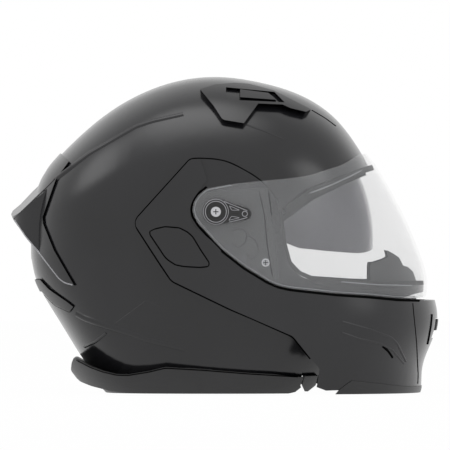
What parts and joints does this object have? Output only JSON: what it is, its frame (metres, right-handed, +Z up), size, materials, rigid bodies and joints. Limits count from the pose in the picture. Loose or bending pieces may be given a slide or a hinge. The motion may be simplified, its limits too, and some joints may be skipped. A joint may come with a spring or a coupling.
{
  "type": "modular motorcycle helmet",
  "caption": "Full-face helmet with a chin bar and clear visor that swing up, and a smoked inner visor.",
  "frame": {"origin": "middle of the helmet's box, on the plane it stands on", "axes": "+X forward, +Y to the wearer's left, +Z up"},
  "size_m": [0.3544, 0.2558, 0.2615],
  "materials": {
    "shell_gloss": "black gloss lacquer",
    "trim_matte": "moulded black",
    "rubber_seal": "black rubber",
    "foam": "moulded bead foam",
    "lining": "brushed knit",
    "webbing": "woven webbing",
    "steel": "brushed",
    "lever_red": "red moulded",
    "clear_visor": "clear polycarbonate",
    "smoke_visor": "smoked polycarbonate"
  },
  "bodies": {
    "shell": {"outer_shell": "shell_gloss", "eps_liner": "foam", "crown_pad": "lining", "cheek_pad_left": "lining", "cheek_pad_right": "lining", "neck_roll": "lining", "edge_trim": "rubber_seal", "jaw_trims": "trim_matte", "rear_spoiler": "shell_gloss", "rear_vent": "trim_matte", "top_vent_left": "shell_gloss", "top_vent_right": "shell_gloss", "hinge_plate_left": "steel", "hinge_plate_right": "steel", "hinge_plate_screws": "steel", "pivot_pins": "steel", "sun_bracket_left": "trim_matte", "sun_bracket_right": "trim_matte", "brow_seal": "rubber_seal", "latch_strikers": "steel", "chin_strap_left": "webbing", "chin_strap_right": "webbing", "strap_rivets": "steel", "buckle_housing": "trim_matte", "buckle_lever_pin": "steel", "buckle_tongue": "steel"},
    "chin_bar": {"chin_bar": "shell_gloss", "chin_eps": "foam", "chin_lower_trim": "trim_matte", "mouth_panel": "shell_gloss", "breath_deflector": "trim_matte", "port_seal": "rubber_seal", "base_plate_left": "trim_matte", "base_plate_right": "trim_matte", "base_plate_rivets": "steel", "visor_hubs": "trim_matte", "hub_screws": "steel", "hinge_cover_left": "shell_gloss", "hinge_cover_right": "shell_gloss", "latch_hook_pins": "steel", "release_housing": "trim_matte"},
    "visor": {"visor": "clear_visor", "visor_cap_left": "trim_matte", "visor_cap_right": "trim_matte"},
    "sun_visor": {"sun_visor": "smoke_visor"},
    "sun_lever": {"sun_lever": "trim_matte"},
    "top_vent_slider_left": {"top_vent_slider_left": "trim_matte"},
    "top_vent_slider_right": {"top_vent_slider_right": "trim_matte"},
    "mouth_slider": {"mouth_slider": "trim_matte"},
    "release_button": {"release_button": "trim_matte"},
    "latch_hook_left": {"latch_hook_left": "trim_matte"},
    "latch_hook_right": {"latch_hook_right": "trim_matte"},
    "buckle_lever": {"buckle_lever": "lever_red"}
  },
  "joints": [
    {"name": "chin_bar_hinge", "type": "hinge", "parent": "shell", "child": "chin_bar", "pos_m": [-0.00756, 0, 0.14944], "axis": [0, -1, 0], "range_deg": [0, 80]},
    {"name": "visor_hinge", "type": "hinge", "parent": "chin_bar", "child": "visor", "pos_m": [-0.00756, 0, 0.14944], "axis": [0, -1, 0], "range_deg": [0, 45]},
    {"name": "sun_visor_hinge", "type": "hinge", "parent": "shell", "child": "sun_visor", "pos_m": [-0.00921, 0, 0.12619], "axis": [0, -1, 0], "range_deg": [0, 36]},
    {"name": "sun_lever_slide", "type": "slide", "parent": "shell", "child": "sun_lever", "axis": [-1, 0, 0], "range_m": [0, 0.012]},
    {"name": "top_vent_left_slide", "type": "slide", "parent": "shell", "child": "top_vent_slider_left", "axis": [-0.9816, 0, 0.1908], "range_m": [0, 0.005]},
    {"name": "top_vent_right_slide", "type": "slide", "parent": "shell", "child": "top_vent_slider_right", "axis": [-0.9816, 0, 0.1908], "range_m": [0, 0.005]},
    {"name": "mouth_vent_slide", "type": "slide", "parent": "chin_bar", "child": "mouth_slider", "axis": [-0.2588, 0, -0.9659], "range_m": [0, 0.005]},
    {"name": "release_press", "type": "slide", "parent": "chin_bar", "child": "release_button", "axis": [0, 0, 1], "range_m": [0, 0.003]},
    {"name": "latch_left_hinge", "type": "hinge", "parent": "chin_bar", "child": "latch_hook_left", "pos_m": [0.09041, 0, 0.01992], "axis": [0, 1, 0], "range_deg": [0, 14], "stiffness_Nm_per_rad": 0.001, "springref_deg": -1.15},
    {"name": "latch_right_hinge", "type": "hinge", "parent": "chin_bar", "child": "latch_hook_right", "pos_m": [0.09041, 0, 0.01992], "axis": [0, 1, 0], "range_deg": [0, 14], "stiffness_Nm_per_rad": 0.001, "springref_deg": -1.15},
    {"name": "buckle_lever_hinge", "type": "hinge", "parent": "shell", "child": "buckle_lever", "pos_m": [-0.02188, 0.009, 0.014], "axis": [-1, 0, 0], "range_deg": [0, 60]}
  ],
  "couplings": [
    {"joint": "sun_lever_slide", "follows": "sun_visor_hinge", "m_per_rad": 0.01908},
    {"joint": "latch_left_hinge", "follows": "release_press", "rad_per_m": 81.367},
    {"joint": "latch_right_hinge", "follows": "release_press", "rad_per_m": 81.367}
  ]
}
